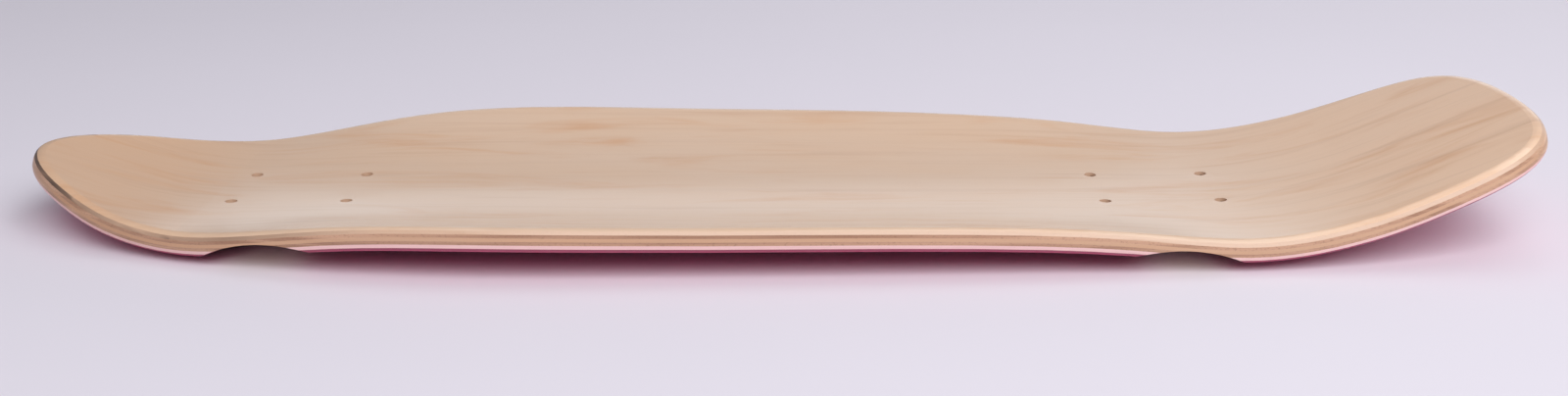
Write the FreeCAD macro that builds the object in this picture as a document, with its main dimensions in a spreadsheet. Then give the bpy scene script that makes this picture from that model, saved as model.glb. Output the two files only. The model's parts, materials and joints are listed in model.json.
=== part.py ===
import FreeCAD, Part
import math
import os
import Sketcher

# Skateboard deck pressed from seven maple veneers, nose at -X, kicktail at +X, top face up.
# While it is modelled, X is measured from the middle of the wheelbase and Z from the top face
# of the flat. The finished plies are then moved so that the deck stands on Z = 0.
#
# The press bends every veneer twice: along the rocker line, which is flat between the trucks and
# kicks up at both ends, and across it into the concave. Each face of a veneer is laid out on that
# form as a grid between the nose arc, the two sides and the tail arc of the outline, drawn in by
# the rounding of the edge at its depth. Neighbours have one face in common, their glue line.

PLY_NAMES = ["top_face_ply", "upper_long_ply", "upper_cross_ply", "centre_long_ply",
             "lower_cross_ply", "lower_long_ply", "bottom_face_ply"]

# Kind of each veneer, from the top face down
VENEERS = ["face", "long", "cross", "long", "cross", "long", "face"]

DRIVING_SIZES = [
    # Truck drilling
    ("wheelbase", 355.6),
    ("bolt_spacing_long", 53.98),
    ("bolt_spacing_wide", 41.28),
    ("bolt_hole_diameter", 5.6),
    # Veneers
    ("face_ply_thickness", 1.5),
    ("long_ply_thickness", 1.6),
    ("cross_ply_thickness", 1.5),
    # Plan outline: reach of the tips past the outer bolts, then half widths of the control polygon
    ("nose_reach", 95.8),
    ("tail_reach", 141.2),
    ("nose_tip_half_width", 17.7),
    ("nose_corner_half_width", 51.7),
    ("nose_half_width", 71.9),
    ("front_truck_half_width", 91.3),
    ("widest_half_width", 103.1),
    ("middle_half_width", 100.7),
    ("waist_half_width", 98.9),
    ("taper_half_width", 94.2),
    ("rear_truck_half_width", 89.8),
    ("tail_root_half_width", 84.1),
    ("tail_half_width", 78.2),
    ("tail_corner_half_width", 69.3),
    ("tail_tip_half_width", 34.6),
    # Rocker line: flat between the trucks, then an arc and a straight run up to each tip
    ("nose_kick_lead", 1.0),
    ("nose_kick_radius", 167.0),
    ("nose_kick_angle", 19.6),
    ("tail_kick_lead", 20.3),
    ("tail_kick_radius", 242.0),
    ("tail_kick_angle", 23.4),
    # Side to side concave: rise of the rails at the gauge half width, station by station
    ("concave_gauge", 100.0),
    ("concave_nose_tip", 5.3),
    ("concave_nose_kick", 5.0),
    ("concave_nose_bend", 5.2),
    ("concave_front_outer_bolts", 6.4),
    ("concave_front_inner_bolts", 13.2),
    ("concave_front_middle", 14.9),
    ("concave_middle", 14.3),
    ("concave_rear_inner_bolts", 10.9),
    ("concave_tail_start", 6.8),
    ("concave_tail_low_bend", 3.9),
    ("concave_tail_high_bend", 2.8),
    ("concave_tail_kick", 1.6),
    ("concave_tail_tip", 0.6),
    ("front_fade_lead", 62.0),
    ("rear_fade_lead", 68.0),
    # Rounding of the edge
    ("edge_radius", 4.3),
    # Wheel wells: scoops under the edge beside the wheels, left by a round cutter that leans out
    ("axle_inset", 6.3),
    ("front_well_depth", 5.3),
    ("rear_well_depth", 4.7),
    ("well_reach", 46.0),
    ("well_cutter_radius", 72.0),
    # How far cutters run past what they cut, and how closely faces meet when they are sewn
    ("cutter_overrun", 12.0),
    ("seam_tolerance", 0.001),
]

# Places of the outline's control points along the deck, as shares of its length from the nose
OUTLINE_PLACE_SHARES = [
    ("nose_tip_half_width", 0.0),
    ("nose_corner_half_width", 0.041),
    ("nose_half_width", 0.10),
    ("front_truck_half_width", 0.20),
    ("widest_half_width", 0.31),
    ("middle_half_width", 0.42),
    ("waist_half_width", 0.54),
    ("taper_half_width", 0.66),
    ("rear_truck_half_width", 0.77),
    ("tail_root_half_width", 0.87),
    ("tail_half_width", 0.93),
    ("tail_corner_half_width", 0.985),
    ("tail_tip_half_width", 1.0),
]

# Shares of a kick's arc or straight run at which the concave is set
LOW_SHARE, MID_SHARE, HIGH_SHARE = 1 / 3, 1 / 2, 2 / 3
# Each rim is rounded by no more than this share of the deck's thickness
ROUNDING_LIMIT_SHARE = 0.45
# The nose and tail arcs run from the tip to this share of the outline
TIP_ARC_SHARE = 0.092
# The grid's rows bend into a tip's arc over this share of the sides
BEND_SHARE = 0.16
# The nose, the front truck, the middle, the rear truck and the tail have faces of their own, which
# part at these shares of the sides
PARTING_SHARES = [0, 0.11, 0.30, 0.66, 0.84, 1]
WHOLE_SHARES = [0, 1]
# Grid of a veneer's face: stations along its sides and points across it
STATION_COUNT = 27
POINT_COUNT = 9
# Degrees of the outline's curve and of the curve from face to face over a veneer's edge
OUTLINE_DEGREE = 3
WALL_DEGREE = 2

doc = FreeCAD.newDocument("skateboard_deck")
sizes = doc.addObject("Spreadsheet::Sheet", "sizes")
for row, (alias, number) in enumerate(DRIVING_SIZES, 1):
    sizes.set(f"A{row}", alias)
    sizes.set(f"B{row}", str(number))
    sizes.setAlias(f"B{row}", alias)
doc.recompute()


def size(alias):
    """a driving size as the sheet holds it"""
    return float(sizes.get(alias))


def recompute():
    """recomputes the document and stops if any object of it failed"""
    doc.recompute()
    failed = [item.Label for item in doc.Objects if "Invalid" in item.State or "Error" in item.State]
    if failed:
        raise RuntimeError(f"these objects failed: {failed}")


# Distances from the middle of the wheelbase, out towards the nose or the tail
SIGNS = {"nose": -1, "tail": 1}
inner_bolts = size("wheelbase") / 2
outer_bolts = inner_bolts + size("bolt_spacing_long")
tips = {end: outer_bolts + size(f"{end}_reach") for end in SIGNS}
kick_starts = {end: outer_bolts - size(f"{end}_kick_lead") for end in SIGNS}
kick_angles = {end: math.radians(size(f"{end}_kick_angle")) for end in SIGNS}
arc_runs = {end: size(f"{end}_kick_radius") * math.sin(kick_angles[end]) for end in SIGNS}

# Depths of the two faces and the glue lines below the top face
depths = [sum(size(f"{veneer}_ply_thickness") for veneer in VENEERS[:count])
          for count in range(len(VENEERS) + 1)]
thickness = depths[-1]
rounding = min(size("edge_radius"), ROUNDING_LIMIT_SHARE * thickness)


# The pressed form

def rocker(place):
    """height and lean of the top face's centre line at a place along the deck"""
    end = "nose" if place < 0 else "tail"
    run = abs(place) - kick_starts[end]
    radius, angle = size(f"{end}_kick_radius"), kick_angles[end]
    if run <= 0:
        return 0.0, 0.0
    if run < arc_runs[end]:
        angle = math.asin(run / radius)
    lift = radius * (1 - math.cos(angle)) + max(0.0, run - arc_runs[end]) * math.tan(angle)
    return lift, SIGNS[end] * angle


def up_arc(end, share):
    """place at a share of a kick's arc, counted from the flat"""
    return SIGNS[end] * (kick_starts[end] + share * arc_runs[end])


def up_run(end, share):
    """place at a share of the straight run from a kick's arc to its tip"""
    start = kick_starts[end] + arc_runs[end]
    return SIGNS[end] * (start + share * (tips[end] - start))


CONCAVES = [
    (up_run("nose", 1), "concave_nose_tip"),
    (up_run("nose", MID_SHARE), "concave_nose_tip"),
    (up_arc("nose", 1), "concave_nose_kick"),
    (up_arc("nose", MID_SHARE), "concave_nose_bend"),
    (up_arc("nose", 0), "concave_front_outer_bolts"),
    (-inner_bolts, "concave_front_inner_bolts"),
    (-(inner_bolts - size("front_fade_lead")), "concave_front_middle"),
    (0, "concave_middle"),
    (inner_bolts - size("rear_fade_lead"), "concave_middle"),
    (inner_bolts, "concave_rear_inner_bolts"),
    (up_arc("tail", 0), "concave_tail_start"),
    (up_arc("tail", LOW_SHARE), "concave_tail_low_bend"),
    (up_arc("tail", HIGH_SHARE), "concave_tail_high_bend"),
    (up_arc("tail", 1), "concave_tail_kick"),
    (up_run("tail", LOW_SHARE), "concave_tail_tip"),
    (up_run("tail", HIGH_SHARE), "concave_tail_tip"),
    (up_run("tail", 1), "concave_tail_tip"),
]


def fitted_curve(points, parameters):
    """smooth curve that passes each point at its parameter"""
    curve = Part.BSplineCurve()
    curve.interpolate(Points=points, Parameters=parameters)
    return curve


concave_curve = fitted_curve([FreeCAD.Vector(place, size(alias), 0) for place, alias in CONCAVES],
                             [place for place, alias in CONCAVES])


def pressed_point(place, across, depth):
    """point of the form at a depth: on an arc across, which stands square to the rocker line"""
    lift, lean = rocker(place)
    rise = concave_curve.value(place).y
    crown = (size("concave_gauge") ** 2 + rise ** 2) / (2 * rise)
    height = crown - math.sqrt((crown + depth) ** 2 - across ** 2)
    return FreeCAD.Vector(place - height * math.sin(lean), across, lift + height * math.cos(lean))


# The outline

def outline_sketch():
    """plan outline of the widest line of the edge, from the nose tip round one side to the tail tip"""
    body = doc.addObject("PartDesign::Body", "plan_outline")
    plane = [feature for feature in body.Origin.OriginFeatures if feature.Role == "XY_Plane"][0]
    sketch = body.newObject("Sketcher::SketchObject", "side_of_outline")
    sketch.AttachmentSupport = [(plane, "")]
    sketch.MapMode = "FlatFace"
    length = "(sizes.wheelbase + 2 * sizes.bolt_spacing_long + sizes.nose_reach + sizes.tail_reach)"
    nose_tip = "(sizes.wheelbase / 2 + sizes.bolt_spacing_long + sizes.nose_reach)"
    # Both tips lie on the centre line, level with the first and the last control point
    points = [(None, OUTLINE_PLACE_SHARES[0][1])] + OUTLINE_PLACE_SHARES
    points.append((None, OUTLINE_PLACE_SHARES[-1][1]))
    poles = []
    for half_width, share in points:
        across = size(half_width) if half_width else 0
        poles.append(FreeCAD.Vector(share * (tips["nose"] + tips["tail"]) - tips["nose"], across, 0))
    spans = len(poles) - OUTLINE_DEGREE
    curve = Part.BSplineCurve()
    knots = [knot / spans for knot in range(spans + 1)]
    counts = [OUTLINE_DEGREE + 1 if knot in (0, spans) else 1 for knot in range(spans + 1)]
    curve.buildFromPolesMultsKnots(poles, counts, knots, False, OUTLINE_DEGREE)
    spline = sketch.addGeometry(curve)
    up = FreeCAD.Vector(0, 0, 1)
    circles = []
    for index, (half_width, share) in enumerate(points):
        # A circle at each control point carries its constraints and its weight
        circle = sketch.addGeometry(Part.Circle(poles[index], up, 1), True)
        sketch.addConstraint(Sketcher.Constraint(
            "InternalAlignment:Sketcher::BSplineControlPoint", circle, 3, spline, index))
        if circles:
            sketch.addConstraint(Sketcher.Constraint("Equal", circles[0], circle))
        else:
            sketch.addConstraint(Sketcher.Constraint("Weight", circle, 1.0))
        circles.append(circle)
        along = sketch.addConstraint(Sketcher.Constraint("DistanceX", -1, 1, circle, 3, poles[index].x))
        sketch.renameConstraint(along, f"place_{index}")
        sketch.setExpression(f"Constraints.place_{index}", f"{share} * {length} - {nose_tip}")
        if half_width:
            wide = sketch.addConstraint(Sketcher.Constraint("DistanceY", -1, 1, circle, 3, poles[index].y))
            sketch.renameConstraint(wide, half_width)
            sketch.setExpression(f"Constraints.{half_width}", f"sizes.{half_width}")
        else:
            sketch.addConstraint(Sketcher.Constraint("PointOnObject", circle, 3, -1))
    recompute()
    return sketch.Geometry[spline]


outline = outline_sketch()
nose_corner, tail_corner = TIP_ARC_SHARE, 1 - TIP_ARC_SHARE


def inset(depth):
    """how far the rounding draws the edge in at a depth"""
    to_centre = rounding - min(depth, thickness - depth)
    return rounding - math.sqrt(rounding ** 2 - to_centre ** 2) if to_centre > 0 else 0.0


def edge_point(share, depth):
    """place and half width of the edge at a share of the outline, for a face at a depth"""
    point = outline.value(share)
    along = outline.tangent(share)[0]
    point += FreeCAD.Vector(along.y, -along.x, 0) * inset(depth)
    # The edge is square to the faces, so on a kick its widest line lies further out than the top
    point.x -= rounding * math.sin(rocker(point.x)[1])
    return point


# Veneers

def evenly(count):
    """parameters from 0 to 1"""
    return [step / (count - 1) for step in range(count)]


def face_grid(depth):
    """points of a face at a depth: rows from the near side to the far one, each from nose to tail"""
    stations = []
    for share in evenly(STATION_COUNT):
        edge = edge_point(nose_corner + share * (tail_corner - nose_corner), depth)
        bends = {end: max(0.0, 1 - from_end / BEND_SHARE) ** 3
                 for end, from_end in (("nose", share), ("tail", 1 - share))}
        stations.append((edge, bends))
    corners = {"nose": stations[0][0], "tail": stations[-1][0]}
    grid = []
    for share in evenly(POINT_COUNT):
        side = 2 * share - 1
        arcs = {"nose": edge_point(nose_corner * abs(side), depth),
                "tail": edge_point(1 - (1 - tail_corner) * abs(side), depth)}
        row = []
        for edge, bends in stations:
            place, across = edge.x, edge.y * side
            for end, bend in bends.items():
                place += bend * (arcs[end].x - corners[end].x)
                across += bend * (math.copysign(arcs[end].y, side) - corners[end].y * side)
            row.append(pressed_point(place, across, depth))
        grid.append(row)
    return grid


def pressed_faces(grid, along, across):
    """faces through a grid of points, which are given row by row with the parameters both ways"""
    rows = [fitted_curve(row, along) for row in grid]
    columns = [fitted_curve(list(poles), across) for poles in zip(*[row.getPoles() for row in rows])]
    return parted_faces([column.getPoles() for column in columns], rows[0], columns[0], PARTING_SHARES)


def parted_faces(poles, first, second, partings):
    """faces of one surface, whose poles follow the knots of two curves, parted along the first"""
    surface = Part.BSplineSurface()
    surface.buildFromPolesMultsKnots(poles, first.getMultiplicities(), second.getMultiplicities(),
                                     first.getKnots(), second.getKnots(), False, False,
                                     first.Degree, second.Degree)
    faces = []
    for low, high in zip(partings, partings[1:]):
        stretch = surface.copy()
        stretch.segment(low, high, 0, 1)
        faces.append(stretch.toShape())
    return faces


def middle_depth(upper, lower):
    """depth half way along the wall between two depths, by the turn of the rounding"""
    if thickness - lower < upper:
        return thickness - middle_depth(thickness - lower, thickness - upper)
    if upper >= rounding:
        return (upper + lower) / 2
    turns = [math.acos(1 - min(depth, rounding) / rounding) for depth in (upper, lower)]
    return rounding * (1 - math.cos(sum(turns) / 2)) if lower <= rounding else (upper + lower) / 2


def wall_faces(lines, parameters, partings):
    """faces of the edge through an upper, a middle and a lower line of points"""
    curves = [fitted_curve(line, parameters) for line in lines]
    poles = [[upper, middle * 2 - (upper + lower) * 0.5, lower]
             for upper, middle, lower in zip(*[curve.getPoles() for curve in curves])]
    parabola = Part.BSplineCurve()
    parabola.buildFromPolesMultsKnots(poles[0], [WALL_DEGREE + 1] * 2, WHOLE_SHARES, False, WALL_DEGREE)
    return parted_faces(poles, curves[0], parabola, partings)


def veneer(name, upper, lower):
    """one veneer between two depths, before it is drilled and scooped"""
    along, across = evenly(STATION_COUNT), evenly(POINT_COUNT)
    grids = [face_grid(depth) for depth in (upper, middle_depth(upper, lower), lower)]
    faces = pressed_faces(grids[0], along, across) + pressed_faces(grids[-1], along, across)
    for row in (0, -1):
        faces += wall_faces([grid[row] for grid in grids], along, PARTING_SHARES)
        faces += wall_faces([[line[row] for line in grid] for grid in grids], across, WHOLE_SHARES)
    shell = Part.makeShell(faces)
    shell.sewShape(size("seam_tolerance"))
    solid = Part.makeSolid(shell)
    if solid.Volume < 0:
        solid.reverse()
    blank = doc.addObject("Part::Feature", f"{name}_blank")
    blank.Shape = solid
    return blank


# Cutters

TRUCKS = {"front": "nose", "rear": "tail"}
THICKNESS = "(" + " + ".join(f"sizes.{veneer}_ply_thickness" for veneer in VENEERS) + ")"


def bolt_drills():
    """the eight bolt holes, square to the flat"""
    drills = []
    for truck, end in TRUCKS.items():
        for row, place in (("inner", "sizes.wheelbase / 2"),
                           ("outer", "(sizes.wheelbase / 2 + sizes.bolt_spacing_long)")):
            for side, hand in (("near", -1), ("far", 1)):
                drill = doc.addObject("Part::Cylinder", f"{truck}_{row}_{side}_drill")
                drill.setExpression("Radius", "sizes.bolt_hole_diameter / 2")
                drill.setExpression("Height", f"{THICKNESS} + 2 * sizes.cutter_overrun")
                drill.setExpression("Placement.Base.x", f"{SIGNS[end]} * {place}")
                drill.setExpression("Placement.Base.y", f"{hand} * sizes.bolt_spacing_wide / 2")
                drill.setExpression("Placement.Base.z", f"-({THICKNESS} + sizes.cutter_overrun)")
                drills.append(drill)
    joined = doc.addObject("Part::MultiFuse", "bolt_drills")
    joined.Shapes = drills
    return joined


def well_cutters():
    """round cutters under the four wheels, whose upper line climbs from the belly to the edge"""
    cutters = []
    for truck, end in TRUCKS.items():
        place = SIGNS[end] * (inner_bolts + size("bolt_spacing_long") / 2 - size("axle_inset"))
        beyond = FreeCAD.Vector(place, size("widest_half_width") + size("cutter_overrun"), 0)
        crossing = outline.intersectCC(Part.LineSegment(FreeCAD.Vector(place, 0, 0), beyond))[0]
        start = pressed_point(place, size("well_reach") - crossing.Y, thickness)
        crest = pressed_point(place, -crossing.Y, thickness)
        crest.z += size(f"{truck}_well_depth")
        climb = (crest - start).normalize()
        down = FreeCAD.Vector(0, -climb.z, climb.y)
        near = doc.addObject("Part::Cylinder", f"{truck}_near_well")
        near.setExpression("Radius", "sizes.well_cutter_radius")
        near.setExpression("Height", "sizes.well_reach + 2 * sizes.cutter_overrun")
        base = start - climb * size("cutter_overrun") + down * size("well_cutter_radius")
        near.Placement = FreeCAD.Placement(base, FreeCAD.Rotation(FreeCAD.Vector(0, 0, 1), climb))
        far = doc.addObject("Part::Mirroring", f"{truck}_far_well")
        far.Source = near
        far.Normal = FreeCAD.Vector(0, 1, 0)
        cutters += [near, far]
    joined = doc.addObject("Part::MultiFuse", "well_cutters")
    joined.Shapes = cutters
    return joined


def cut(name, base, tool):
    result = doc.addObject("Part::Cut", name)
    result.Base = base
    result.Tool = tool
    return result


def build_plies():
    drills, wells = bolt_drills(), well_cutters()
    deepest_well = max(size(f"{truck}_well_depth") for truck in TRUCKS)
    plies = []
    for name, upper, lower in zip(PLY_NAMES, depths, depths[1:]):
        ply = veneer(name, upper, lower)
        if thickness - lower < deepest_well:
            ply = cut(f"{name}_scooped", ply, wells)
        ply = cut(name, ply, drills)
        plies.append(ply)
    recompute()
    return plies


plies = build_plies()

# The deck stands on the lowest line of its belly, with the middle of its box over the origin
box = FreeCAD.BoundBox()
for ply in plies:
    box.add(ply.Shape.optimalBoundingBox())
shift = FreeCAD.Vector(-box.Center.x, -box.Center.y, -box.ZMin)
for ply in plies:
    ply.Placement = FreeCAD.Placement(shift, FreeCAD.Rotation())
recompute()

for ply in plies:
    if ply.Shape.isNull() or not ply.Shape.isValid() or len(ply.Shape.Solids) != 1:
        raise RuntimeError(f"{ply.Label} is not one valid solid")

os.makedirs("parts", exist_ok=True)
for ply in plies:
    ply.Shape.exportStep(f"parts/{ply.Label}.step")
    print(ply.Label, round(ply.Shape.Volume), "mm3")
print("deck", [round(side, 1) for side in (box.XLength, box.YLength, box.ZLength)], "mm")
print("middle of the wheelbase at X", round(shift.x, 3))
print("top of the flat at Z", round(shift.z, 3))
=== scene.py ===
import json
import math
import bpy
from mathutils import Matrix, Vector

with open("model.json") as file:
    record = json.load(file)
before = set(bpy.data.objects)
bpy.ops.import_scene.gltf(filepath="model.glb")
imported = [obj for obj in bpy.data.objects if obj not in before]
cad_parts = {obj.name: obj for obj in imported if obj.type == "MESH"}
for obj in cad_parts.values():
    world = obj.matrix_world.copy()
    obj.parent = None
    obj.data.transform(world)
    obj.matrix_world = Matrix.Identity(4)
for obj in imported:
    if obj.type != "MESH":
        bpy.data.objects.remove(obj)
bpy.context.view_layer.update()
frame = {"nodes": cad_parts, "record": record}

print("frame loaded:", ", ".join(sorted(frame["nodes"])))


# Colours are given as screen values, and the screen's curve turns them into the linear values of shaders

screenCurve = {"levels": 255, "knee": 0.04045, "slope": 12.92, "lift": 0.055, "power": 2.4}


def linear(channel):
    curve = screenCurve
    share = channel / curve["levels"]
    if share <= curve["knee"]:
        return share / curve["slope"]
    return ((share + curve["lift"]) / (1 + curve["lift"])) ** curve["power"]


def srgb(red, green, blue):
    return (linear(red), linear(green), linear(blue), 1.0)


# Shader tools

class Wire:
    # a shader value that sums and products can be written with
    def __init__(self, paint, socket):
        self.paint = paint
        self.socket = socket

    def maths(self, operation, first, second=0.0):
        return self.paint.node("ShaderNodeMath", {"operation": operation}, {0: first, 1: second})

    def __add__(self, other):
        return self.maths("ADD", self, other)

    def __radd__(self, other):
        return self.maths("ADD", other, self)

    def __sub__(self, other):
        return self.maths("SUBTRACT", self, other)

    def __rsub__(self, other):
        return self.maths("SUBTRACT", other, self)

    def __mul__(self, other):
        return self.maths("MULTIPLY", self, other)

    def __rmul__(self, other):
        return self.maths("MULTIPLY", other, self)

    def __abs__(self):
        return self.maths("ABSOLUTE", self)


def rising(pair, value):
    # the pair's first number where value is 0, and more by its second where value is 1
    least, more = pair
    return least + more * value


plainNoise = {"detail": 2.0, "roughness": 0.5, "distortion": 0.0}   # where a pattern gives none of its own

mixSockets = {"mask": 0, "first": 6, "second": 7, "result": 2}      # of a Mix node that is set to colours


class Paint:
    # the node tree of one finish
    def __init__(self, name):
        self.material = bpy.data.materials.new(name)
        self.material.use_nodes = True
        self.tree = self.material.node_tree
        self.tree.nodes.clear()
        self.place = self.node("ShaderNodeTexCoord", output="Object")
        self.facing = self.node("ShaderNodeNewGeometry", output="Normal")

    def node(self, kind, settings=None, inputs=None, output=0):
        made = self.tree.nodes.new(kind)
        for name, setting in (settings or {}).items():
            setattr(made, name, setting)
        for name, given in (inputs or {}).items():
            if isinstance(given, Wire):
                self.tree.links.new(given.socket, made.inputs[name])
            else:
                made.inputs[name].default_value = given
        return None if output is None else Wire(self, made.outputs[output])

    def axis(self, vector, name):
        return self.node("ShaderNodeSeparateXYZ", None, {0: vector}, name)

    def joined(self, x, y, z):
        return self.node("ShaderNodeCombineXYZ", None, {0: x, 1: y, 2: z})

    def step(self, value, low, high):
        # 0 at low and 1 at high, smooth between, and high may be the smaller of the two
        return self.node("ShaderNodeMapRange", {"interpolation_type": "SMOOTHSTEP"},
                         {"Value": value, "From Min": low, "From Max": high})

    def pattern(self, place, look):
        # noise in cycles per metre along the deck, across it and up through it,
        # and where the look gives a range, the mask that rises over that range
        look = dict(plainNoise, **look)
        stretched = self.node("ShaderNodeVectorMath", {"operation": "MULTIPLY"},
                              {0: place, 1: look["cycles"]})
        noise = self.node("ShaderNodeTexNoise", None, {
            "Vector": stretched, "Scale": 1.0, "Detail": look["detail"],
            "Roughness": look["roughness"], "Distortion": look["distortion"]})
        return self.step(noise, *look["range"]) if "range" in look else noise

    def blend(self, first, second, mask, mode="MIX"):
        at = mixSockets
        return self.node("ShaderNodeMix", {"data_type": "RGBA", "blend_type": mode},
                         {at["mask"]: mask, at["first"]: first, at["second"]: second}, at["result"])

    def shade(self, colour, tone):
        # the same colour, lighter or darker by a factor that changes over the surface
        grey = self.node("ShaderNodeCombineColor", None, {0: tone, 1: tone, 2: tone})
        return self.blend(colour, grey, 1.0, "MULTIPLY")

    def finish(self, inputs, height=None, bump=None):
        if bump is not None:
            inputs["Normal"] = self.node("ShaderNodeBump", None, dict(bump, Height=height))
        surface = self.node("ShaderNodeBsdfPrincipled", None, inputs)
        self.node("ShaderNodeOutputMaterial", None, {"Surface": surface}, None)
        return self.material


# Grain of a rotary cut maple veneer that runs along the deck

mapleGrain = {
    # how the growth lines drift sideways: not at all at the middle tone, elsewhere by a share of the reach
    "wander": {"cycles": (1.6, 5.0, 0.0)},
    "wanderMiddle": 0.5,
    "wanderReach": 0.018,
    # slow change of tone, and soft cloudy patches
    "broad": {"cycles": (2.2, 9.0, 0.0), "range": (0.3, 0.7)},
    "blotch": {"cycles": (13.0, 34.0, 0.0), "range": (0.35, 0.75), "detail": 3.0, "roughness": 0.6},
    # warm mineral streaks, a hand long, and thin threads beside them
    "streaks": {"cycles": (8.5, 52.0, 0.0), "range": (0.48, 0.78), "detail": 4.0,
                "roughness": 0.6, "distortion": 0.9},
    "threads": {"cycles": (9.0, 170.0, 0.0), "range": (0.56, 0.74), "distortion": 0.4},
    # growth lines, nearly as long as the deck
    "growth": {"cycles": (1.1, 105.0, 0.0), "range": (0.5, 0.78), "detail": 3.0, "roughness": 0.6},
    # fine fibre, and short rays
    "fibre": {"cycles": (30.0, 1300.0, 0.0), "roughness": 0.6},
    "flecks": {"cycles": (170.0, 1150.0, 0.0), "range": (0.66, 0.82), "detail": 1.0},
    # how much the growth lines raise the surface beside the fibre, and how deep the relief is
    "growthRelief": 0.5,
    "bump": {"Distance": 0.00006, "Strength": 0.15},
}


class Grain:
    # the masks and tones that a face's finish draws on
    def __init__(self, paint):
        look = mapleGrain
        wander = paint.pattern(paint.place, look["wander"])
        drift = (wander - look["wanderMiddle"]) * look["wanderReach"]
        x, y = paint.axis(paint.place, "X"), paint.axis(paint.place, "Y")
        drifted = paint.joined(x, y + drift, 0.0)
        self.broad = paint.pattern(drifted, look["broad"])
        self.streaks = paint.pattern(drifted, look["streaks"])
        self.threads = paint.pattern(drifted, look["threads"])
        self.growth = paint.pattern(drifted, look["growth"])
        self.blotch = paint.pattern(drifted, look["blotch"])
        self.fibre = paint.pattern(drifted, look["fibre"])
        self.flecks = paint.pattern(drifted, look["flecks"])
        self.relief = self.fibre + self.growth * look["growthRelief"]


# Bolt holes, whose places and radius are those of the record's mounts

mmPerMetre = 1000


def boltHoles():
    mounts = frame["record"]["mounts"]
    places = []
    for mount in mounts:
        x, y = mount["pos_m"][:2]
        long, wide = (mount["dims"][name] / mmPerMetre for name in ("spacing_x_mm", "spacing_y_mm"))
        places += [(x + i * long / 2, y + j * wide / 2) for i in (-1, 1) for j in (-1, 1)]
    return places, mounts[0]["dims"]["hole_r_mm"] / mmPerMetre


def holeShade(paint, reach):
    # mask of the painted shade in the bolt holes: 1 at the wall of a hole, fading over a short reach of
    # the face around it
    places, radius = boltHoles()
    x, y = paint.axis(paint.place, "X"), paint.axis(paint.place, "Y")
    nearest = None
    for holeX, holeY in places:
        offset = paint.joined(x - holeX, y - holeY, 0.0)
        distance = paint.node("ShaderNodeVectorMath", {"operation": "LENGTH"}, {0: offset}, "Value")
        nearest = distance if nearest is None else nearest.maths("MINIMUM", nearest, distance)
    return 1 - paint.step(nearest, radius, radius + reach)


# Top veneer, bare under a clear satin lacquer

clearFace = {
    "pale": srgb(218, 190, 166),
    "warm": srgb(218, 184, 154),
    "warmBroadShare": 0.6,
    "warmBlotchShare": 0.4,
    "nose": srgb(210, 168, 132),        # warmer wood, and painted shade, towards the nose
    "noseReach": (-0.23, -0.31),
    "noseShare": 0.65,
    "tail": srgb(246, 206, 172),        # painted light: lighter and more golden towards the tail kick
    "tailReach": (0.18, 0.3),
    "tailShare": 0.5,
    "streak": srgb(206, 152, 108),
    "streakShares": (0.35, 0.4),        # at least, and more in a cloudy patch
    "line": srgb(190, 150, 122),
    "growthShare": 0.3,
    "threadShare": 0.22,
    "fleckShare": 0.16,
    "fibreTone": (0.955, 0.09),         # at least, and what the fibre adds
    "rim": srgb(236, 212, 190),         # paler wood, and a painted highlight, where the face is cut steeply
    "rimSlope": (0.45, 0.74),
    "rimShare": 0.55,
    # painted shade in and around the bolt holes
    "hole": srgb(208, 170, 142),
    "holeReach": 0.0004,
    "holeShare": 0.8,
    "fibreRoughness": (0.46, 0.1),
    "streakRoughness": 0.06,
    "coat": 0.9,
    "coatRoughness": 0.2,
}


def clearMapleFace():
    look = clearFace
    paint = Paint("clearMapleFace")
    grain = Grain(paint)
    warmth = grain.broad * look["warmBroadShare"] + grain.blotch * look["warmBlotchShare"]
    colour = paint.blend(look["pale"], look["warm"], warmth)
    along = paint.axis(paint.place, "X")
    # warmer wood and painted shade towards the nose kick
    noseward = paint.step(along, *look["noseReach"])
    colour = paint.blend(colour, look["nose"], noseward * look["noseShare"])
    # painted light on the tail kick, lighter and more golden
    tailward = paint.step(along, *look["tailReach"])
    colour = paint.blend(colour, look["tail"], tailward * look["tailShare"])
    streaks = grain.streaks * rising(look["streakShares"], grain.blotch)
    colour = paint.blend(colour, look["streak"], streaks)
    lines = grain.growth * look["growthShare"] + grain.threads * look["threadShare"]
    colour = paint.blend(colour, look["line"], lines)
    colour = paint.blend(colour, look["line"], grain.flecks * look["fleckShare"])
    colour = paint.shade(colour, rising(look["fibreTone"], grain.fibre))
    # painted highlight, together with paler sanded wood, on the rounding of the face
    rim = 1 - paint.step(paint.axis(paint.facing, "Z"), *look["rimSlope"])
    colour = paint.blend(colour, look["rim"], rim * look["rimShare"])
    # painted shade in the bolt holes
    holes = holeShade(paint, look["holeReach"])
    colour = paint.blend(colour, look["hole"], holes * look["holeShare"])
    return paint.finish({
        "Base Color": colour,
        "Roughness": rising(look["fibreRoughness"], grain.fibre) + look["streakRoughness"] * grain.streaks,
        "Coat Weight": look["coat"],
        "Coat Roughness": look["coatRoughness"],
    }, grain.relief, mapleGrain["bump"])


# Bottom veneer, dyed rose, its own rounded edge too

roseFace = {
    "bright": srgb(222, 84, 132),
    "deep": srgb(200, 54, 102),
    "deepBroadShare": 0.5,
    "deepBlotchShare": 0.3,
    "line": srgb(136, 34, 74),
    "growthShare": 0.4,
    "fleckShare": 0.2,
    "edge": srgb(148, 36, 74),          # painted shade on the rounding that faces down to the floor
    "edgeSlope": (-0.9, -0.72),
    "edgeShare": 0.85,
    # painted shade in and around the bolt holes, in the colour of the grain lines
    "holeReach": 0.0008,
    "holeShare": 0.6,
    "fibreTone": (0.93, 0.14),
    "fibreRoughness": (0.4, 0.14),
    "coat": 0.45,
    "coatRoughness": 0.25,
}


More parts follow.
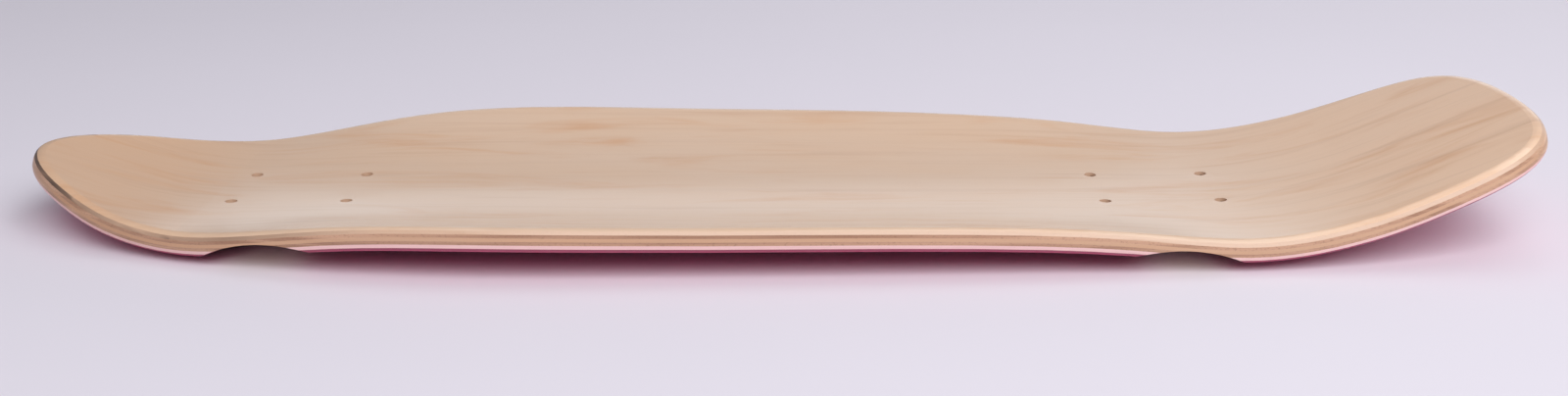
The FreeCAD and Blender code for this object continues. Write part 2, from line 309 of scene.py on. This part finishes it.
def roseMapleFace():
    look = roseFace
    paint = Paint("roseMapleFace")
    grain = Grain(paint)
    depth = grain.broad * look["deepBroadShare"] + grain.blotch * look["deepBlotchShare"]
    colour = paint.blend(look["bright"], look["deep"], depth)
    lines = grain.growth * look["growthShare"] + grain.flecks * look["fleckShare"]
    colour = paint.blend(colour, look["line"], lines)
    # painted shade where the bottom's rounded edge faces down to the floor
    edge = paint.step(paint.axis(paint.facing, "Z"), *look["edgeSlope"])
    colour = paint.blend(colour, look["edge"], edge * look["edgeShare"])
    # painted shade in the bolt holes
    holes = holeShade(paint, look["holeReach"])
    colour = paint.blend(colour, look["line"], holes * look["holeShare"])
    colour = paint.shade(colour, rising(look["fibreTone"], grain.fibre))
    return paint.finish({
        "Base Color": colour,
        "Roughness": rising(look["fibreRoughness"], grain.fibre),
        "Coat Weight": look["coat"],
        "Coat Roughness": look["coatRoughness"],
    }, grain.relief, mapleGrain["bump"])


# Sanded and sealed edges of the inner veneers: dark where the cut crosses the fibres

longEdge = {
    "grain": "X",
    "side": srgb(203, 163, 132),
    "end": srgb(190, 148, 116),
    "endSlope": (0.25, 0.95),           # how squarely the cut crosses the fibres
    "nose": srgb(190, 148, 116),        # the edge that looks towards the nose
    "noseSlope": (-0.12, -0.44),
    "stain": srgb(198, 146, 108),
    "stainShares": (0.25, 0.45),        # along the fibres, and more across them
    "pore": srgb(120, 84, 60),
    "poreShares": (0.05, 0.3),
    "fibre": {"cycles": (24.0, 24.0, 2200.0), "detail": 3.0, "roughness": 0.6},
    "pores": {"cycles": (850.0, 850.0, 1500.0), "range": (0.52, 0.72)},
    "clouds": {"cycles": (6.0, 6.0, 240.0), "range": (0.38, 0.7), "detail": 3.0, "roughness": 0.6},
    "fibreTone": (0.93, 0.14),
    "fibreRoughness": (0.46, 0.14),
    "coat": 0.35,
    "coatRoughness": 0.22,
    "bump": {"Distance": 0.00005, "Strength": 0.25},
}

# The veneer under the top face carries the highlight of the rounding, and is much darker where it faces
# the nose
upperEdge = dict(longEdge, side=srgb(204, 170, 144), stain=srgb(196, 156, 126),
                 nose=srgb(84, 64, 54), coat=0.55)

# Crossbands show their end grain along the sides of the deck
crossEdge = dict(longEdge, side=srgb(224, 186, 152), end=srgb(198, 156, 128),
                 nose=srgb(204, 162, 134), stain=srgb(134, 92, 66), grain="Y")

# The veneer above the rose one is pale pink, and brighter than the others, along its edge
blushEdge = dict(longEdge, side=srgb(252, 212, 205), end=srgb(236, 176, 172),
                 nose=srgb(236, 190, 180), stain=srgb(246, 198, 198), pore=srgb(190, 110, 124))


def sandedEdge(name, look):
    paint = Paint(name)
    fibre = paint.pattern(paint.place, look["fibre"])
    pores = paint.pattern(paint.place, look["pores"])
    clouds = paint.pattern(paint.place, look["clouds"])
    across = paint.step(abs(paint.axis(paint.facing, look["grain"])), *look["endSlope"])
    noseward = paint.step(paint.axis(paint.facing, "X"), *look["noseSlope"])
    colour = paint.blend(look["side"], look["end"], across)
    colour = paint.blend(colour, look["nose"], noseward)
    colour = paint.blend(colour, look["stain"], clouds * rising(look["stainShares"], across))
    colour = paint.blend(colour, look["pore"], pores * rising(look["poreShares"], across))
    colour = paint.shade(colour, rising(look["fibreTone"], fibre))
    return paint.finish({
        "Base Color": colour,
        "Roughness": rising(look["fibreRoughness"], fibre),
        "Coat Weight": look["coat"],
        "Coat Roughness": look["coatRoughness"],
    }, fibre + pores, look["bump"])


def dressPlies():
    longGrain = sandedEdge("longGrainEdge", longEdge)
    crossGrain = sandedEdge("crossGrainEdge", crossEdge)
    finishes = {
        "top_face_ply": clearMapleFace(),
        "upper_long_ply": sandedEdge("upperGrainEdge", upperEdge),
        "upper_cross_ply": crossGrain,
        "centre_long_ply": longGrain,
        "lower_cross_ply": crossGrain,
        "lower_long_ply": sandedEdge("blushGrainEdge", blushEdge),
        "bottom_face_ply": roseMapleFace(),
    }
    for node, finish in finishes.items():
        ply = frame["nodes"][node]
        ply.data.materials.clear()
        ply.data.materials.append(finish)
    print("plies dressed:", len(finishes))


dressPlies()


# Paper floor

paperFloor = {
    "size": 14.0,
    "colour": srgb(224, 220, 230),
    "mottle": {"cycles": (3.0, 3.0, 0.0), "detail": 3.0},
    "mottleTone": (0.98, 0.04),
    "roughness": 0.75,
    "gloss": 0.25,
}


def buildFloor():
    look = paperFloor
    bpy.ops.object.select_all(action="DESELECT")
    bpy.ops.mesh.primitive_plane_add(size=look["size"], location=(0, 0, 0))
    floor = bpy.context.object
    floor.name = "studioFloor"
    paint = Paint("paperSweep")
    mottle = paint.pattern(paint.place, look["mottle"])
    floor.data.materials.append(paint.finish({
        "Base Color": paint.shade(look["colour"], rising(look["mottleTone"], mottle)),
        "Roughness": look["roughness"],
        "Specular IOR Level": look["gloss"],
    }))
    print("floor laid")


# Lamps, and the air of the room

lamps = [
    {"name": "frontSoftbox", "place": (0.75, -1.74, 1.98), "target": (0.15, -0.05, 0.0),
     "width": 3.2, "depth": 1.9, "power": 83.0, "colour": (1.0, 0.99, 0.99)},
    {"name": "overheadSoftbox", "place": (0.8, 0.5, 2.0), "target": (0.5, 0.3, 0.0),
     "width": 1.6, "depth": 1.0, "power": 9.0, "colour": (1.0, 0.99, 0.995)},
    {"name": "backPanel", "place": (0.9, 2.6, 0.55), "target": (0.15, 0.0, 0.03),
     "width": 5.0, "depth": 0.85, "power": 10.5, "colour": (0.93, 0.97, 1.0)},
]

studioAir = {
    "colour": srgb(226, 225, 234),
    "strength": 0.27,
}


def hangLamps():
    for lamp in lamps:
        direction = Vector(lamp["target"]) - Vector(lamp["place"])
        bpy.ops.object.light_add(type="AREA", location=lamp["place"],
                                 rotation=direction.to_track_quat("-Z", "Y").to_euler())
        light = bpy.context.object
        light.name = lamp["name"]
        light.data.shape = "RECTANGLE"
        light.data.size = lamp["width"]
        light.data.size_y = lamp["depth"]
        light.data.energy = lamp["power"]
        light.data.color = lamp["colour"]
    print("lamps hung:", len(lamps))


def fillAir():
    air = bpy.data.worlds.new("studioAir")
    air.use_nodes = True
    backdrop = air.node_tree.nodes["Background"]
    backdrop.inputs["Color"].default_value = studioAir["colour"]
    backdrop.inputs["Strength"].default_value = studioAir["strength"]
    bpy.context.scene.world = air
    print("air filled")


# Camera, as it stood for the photograph of 1600 by 404 pixels

view = {
    "place": (0.004998, -0.767648, 0.256869),
    "pitchDown": 18.10,                 # degrees below level, and yaw in degrees too
    "yaw": 0.041,
    "lens": 38.54,                      # mm
    "nearClip": 0.01,
    "farClip": 50,
}


def setCamera():
    bpy.ops.object.camera_add(location=view["place"])
    camera = bpy.context.object
    camera.name = "photoView"
    camera.rotation_euler = (math.radians(90 - view["pitchDown"]), 0, math.radians(view["yaw"]))
    camera.data.lens = view["lens"]
    camera.data.clip_start = view["nearClip"]
    camera.data.clip_end = view["farClip"]
    bpy.context.scene.camera = camera
    print("camera set")


buildFloor()
hangLamps()
fillAir()
setCamera()

# Colours come out as they are, with no film curve over them
bpy.context.scene.view_settings.view_transform = "Standard"
bpy.context.scene.view_settings.look = "None"
